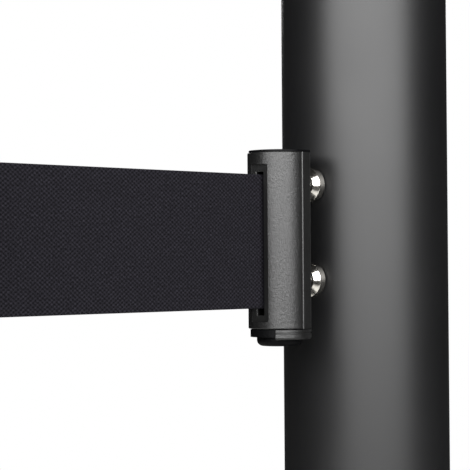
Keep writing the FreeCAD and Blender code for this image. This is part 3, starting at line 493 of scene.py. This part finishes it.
# ---------------------------------------------------------------- screws
def screw_tree():
    """A threaded screw at each point, its head's face at the point and its shank below it.

    The shank is a grid whose rows go down the screw and whose columns go once round it.
    """
    tree, given, out = geometry_tree("machine screws", [
        ("Length", "Float", 8 * MM), ("Shank radius", "Float", MM), ("Thread pitch", "Float", 0.5 * MM),
        ("Head radius", "Float", 2 * MM), ("Head foot", "Float", 2 * MM), ("Head height", "Float", MM),
        ("Socket", "Float", MM), ("Turn", "Vector", (0.0, 0.0, 0.0)), ("Finish", "Material", None)])
    columns, rows = 24, 140
    around, last_inside = columns + 1, rows - 3
    neck = 0.9                     # of the head's height, down to where the shank starts
    groove_share = 0.3             # of the thread's pitch, half as deep as the thread
    socket_share = 0.6             # of the head's height
    grid = add(tree, "GeometryNodeMeshGrid", {"Vertices X": rows, "Vertices Y": around})
    index = add(tree, "GeometryNodeInputIndex")
    column = add(tree, MATH, (index, around), operation="MODULO")
    row_start = add(tree, MATH, (index, column), operation="SUBTRACT")
    row = add(tree, MATH, (row_start, around), operation="DIVIDE")
    angle = add(tree, MATH, (column, TAU / columns), operation="MULTIPLY")

    # The first and last rows close the shank's ends on its axis.
    row_inside = add(tree, MATH, (row, 1), operation="SUBTRACT")
    nearest = add(tree, "ShaderNodeClamp", (row_inside, 0, last_inside))
    is_open = add(tree, MATH, (row_inside, nearest, 0.5), operation="COMPARE")
    share = add(tree, MATH, (nearest, last_inside), operation="DIVIDE")
    top = add(tree, MATH, (given["Head height"], neck), operation="MULTIPLY")
    reach = add(tree, MATH, (given["Length"], top), operation="SUBTRACT")
    down = add(tree, MATH, (reach, share, top), operation="MULTIPLY_ADD")

    # The thread: a groove that follows the angle less one turn for each pitch down.
    threads = add(tree, MATH, (down, given["Thread pitch"]), operation="DIVIDE")
    thread_turn = add(tree, MATH, (threads, TAU), operation="MULTIPLY")
    lag = add(tree, MATH, (thread_turn, angle), operation="SUBTRACT")
    crest = add(tree, MATH, (lag,), operation="COSINE")
    depth = add(tree, MATH, (crest, groove_share, groove_share), operation="MULTIPLY_ADD")
    groove = add(tree, MATH, (depth, given["Thread pitch"]), operation="MULTIPLY")
    cut_radius = add(tree, MATH, (given["Shank radius"], groove), operation="SUBTRACT")
    radius = add(tree, MATH, (cut_radius, is_open), operation="MULTIPLY")
    cosine = add(tree, MATH, (angle,), operation="COSINE")
    sine = add(tree, MATH, (angle,), operation="SINE")
    x = add(tree, MATH, (radius, cosine), operation="MULTIPLY")
    y = add(tree, MATH, (radius, sine), operation="MULTIPLY")
    z = add(tree, MATH, (down, -1), operation="MULTIPLY")
    position = add(tree, "ShaderNodeCombineXYZ", (x, y, z))
    shank = add(tree, "GeometryNodeSetPosition", {"Geometry": grid, "Position": position})

    # The head: a cone or drum with a hexagonal socket cut into its face.
    drum = add(tree, "GeometryNodeMeshCone", {
        "Vertices": 40, "Radius Top": given["Head radius"], "Radius Bottom": given["Head foot"],
        "Depth": given["Head height"]})
    drop = add(tree, VECTOR_MATH, {0: (0, 0, -1), "Scale": given["Head height"]}, operation="SCALE")
    head = add(tree, "GeometryNodeTransform", {"Geometry": drum, "Translation": drop})
    hexagon = add(tree, "GeometryNodeMeshCone", {
        "Vertices": 6, "Radius Top": given["Socket"], "Radius Bottom": given["Socket"],
        "Depth": given["Head height"]})
    sink = add(tree, VECTOR_MATH, {0: (0, 0, -socket_share), "Scale": given["Head height"]},
               operation="SCALE")
    socket = add(tree, "GeometryNodeTransform", {"Geometry": hexagon, "Translation": sink})
    drilled = add(tree, "GeometryNodeMeshBoolean", {"Mesh 1": head, "Mesh 2": socket},
                  operation="DIFFERENCE")
    screw = add(tree, "GeometryNodeJoinGeometry", (shank,))
    feed(tree, screw, (drilled,))
    placed = add(tree, "GeometryNodeInstanceOnPoints",
                 {"Points": given["Geometry"], "Instance": screw, "Rotation": given["Turn"]})
    real = add(tree, "GeometryNodeRealizeInstances", (placed,))
    done = add(tree, "GeometryNodeSetMaterial", {"Geometry": real, "Material": given["Finish"]})
    tree.links.new(done.outputs[0], out)
    return tree


def solids(node):
    """The low and high corners of each separate solid of a CAD node."""
    o = frame["nodes"][node]
    work = bmesh.new()
    work.from_mesh(o.data)
    bmesh.ops.remove_doubles(work, verts=work.verts, dist=1e-6)
    left, boxes = set(work.verts), []
    while left:
        shell, ends = set(), [next(iter(left))]
        while ends:
            vert = ends.pop()
            if vert not in shell:
                shell.add(vert)
                ends.extend(edge.other_vert(vert) for edge in vert.link_edges)
        left -= shell
        spots = [o.matrix_world @ vert.co for vert in shell]
        boxes.append([Vector(pick(spot[i] for spot in spots) for i in range(3)) for pick in (min, max)])
    work.free()
    return boxes


thread_pitch = 0.4                 # of the shank's radius
# Each row: the screws' node, body and slot, the way their heads face, and in millimetres the shank's
# radius, the head's height, the head's radius at its foot and the socket's radius.
screw_kinds = [
    ("end_screws", "belt_end", "zinc_steel", (1, 0, 0), 1.25, 1.3, 1.9, 1.0),
    ("lid_screws", "root", "zinc_steel", (0, 0, 1), 1.5, 1.4, 2.7, 1.3),
    ("bracket_screws", "root", "zinc_steel", (-1, 0, 0), 1.5, 1.4, 1.5, 1.0),
    ("head_cap_screw", "root", "zinc_steel", (0, 0, 1), 3.0, 3.0, 3.0, 2.3),
]


def make_screws():
    """The threaded screws, one piece for each CAD node, where the node's solids are."""
    tree = screw_tree()
    for node, body, slot, way, shank, tall, foot, socket in screw_kinds:
        facing = Vector(way)
        axis = max(range(3), key=lambda i: abs(way[i]))
        across = (axis + 1) % 3
        spots, length, head = [], 0.0, 0.0
        for low, high in solids(node):
            spot = (low + high) / 2
            spot[axis] = high[axis] if way[axis] > 0 else low[axis]
            spots.append(spot)
            length, head = high[axis] - low[axis], (high[across] - low[across]) / 2
        turn = facing.to_track_quat("Z", "Y").to_euler()
        screws = grow(node + "_threaded", points_mesh(node, spots, joined=False), tree,
                      {"Length": length, "Shank radius": shank * MM,
                       "Thread pitch": shank * thread_pitch * MM, "Head radius": head,
                       "Head foot": foot * MM, "Head height": tall * MM, "Socket": socket * MM,
                       "Turn": turn, "Finish": finish_of_slot[slot]}, sharp=30.0)
        place(screws, body, slot, node)


def dress_nodes():
    """Every carried-over node takes the finish of its slot."""
    for part in frame["record"]["subparts"]:
        o = frame["nodes"][part["node"]]
        o.data.materials.clear()
        o.data.materials.append(finish_of_slot[part["material_slot"]])


# ---------------------------------------------------------------- stage, lights and camera
def make_stage():
    bpy.ops.mesh.primitive_circle_add(vertices=96, radius=3.0, fill_type="NGON", location=(0, 0, -0.5 * MM))
    floor = bpy.context.object
    floor.name = "studio_floor"
    m = start("matt pale studio floor", "#cacac8", 0.7)[0]
    floor.data.materials.append(m)

    world = bpy.data.worlds.new("studio")
    scene.world = world
    world.use_nodes = True
    tree = world.node_tree
    tree.nodes.clear()
    # The camera sees a white room, which lights the object only faintly.
    seen = add(tree, "ShaderNodeLightPath").outputs["Is Camera Ray"]
    dim = add(tree, "ShaderNodeBackground", {"Color": srgb("#ffffff"), "Strength": 0.02})
    white = add(tree, "ShaderNodeBackground", {"Color": srgb("#ffffff"), "Strength": 1.0})
    mix = add(tree, "ShaderNodeMixShader", (seen, dim, white))
    add(tree, "ShaderNodeOutputWorld", {"Surface": mix})


def softbox(name, turn, distance, height, width, tall, power):
    """A soft light that faces the belt end, turned from the camera's side of the post by an angle."""
    lamp = bpy.data.lights.new(name, "AREA")
    lamp.shape = "RECTANGLE"
    lamp.size, lamp.size_y, lamp.energy = width, tall, power
    o = bpy.data.objects.new(name, lamp)
    scene.collection.objects.link(o)
    angle = camera_turn + math.radians(turn)
    o.location = (distance * math.sin(angle), -distance * math.cos(angle), belt_middle + height)
    aim = Vector((0, 0, belt_middle)) - o.location
    o.rotation_euler = aim.to_track_quat("-Z", "Y").to_euler()


def make_lights():
    softbox("key softbox", turn=0.0, distance=1.3, height=0.48, width=3.7, tall=1.0, power=115.0)
    softbox("back fill", turn=180.0, distance=1.6, height=0.7, width=1.0, tall=0.8, power=14.0)


def make_camera():
    data = bpy.data.cameras.new("camera")
    data.lens, data.sensor_width = camera_lens, camera_sensor
    data.clip_start = 0.01
    o = bpy.data.objects.new("camera", data)
    scene.collection.objects.link(o)
    right = Vector((math.cos(camera_turn), math.sin(camera_turn), 0))
    ahead = Vector((-math.sin(camera_turn), math.cos(camera_turn), 0))
    o.location = right * camera_side - ahead * camera_back + Vector((0, 0, belt_middle - camera_drop))
    turn = Matrix.Rotation(camera_turn, 4, "Z") @ Matrix.Rotation(math.pi / 2 + camera_pitch, 4, "X")
    o.rotation_euler = (turn @ Matrix.Rotation(camera_roll, 4, "Z")).to_euler()
    scene.camera = o


dress_nodes()
make_webbing()
make_screws()
make_stage()
make_lights()
make_camera()
scene.view_settings.view_transform = "Standard"
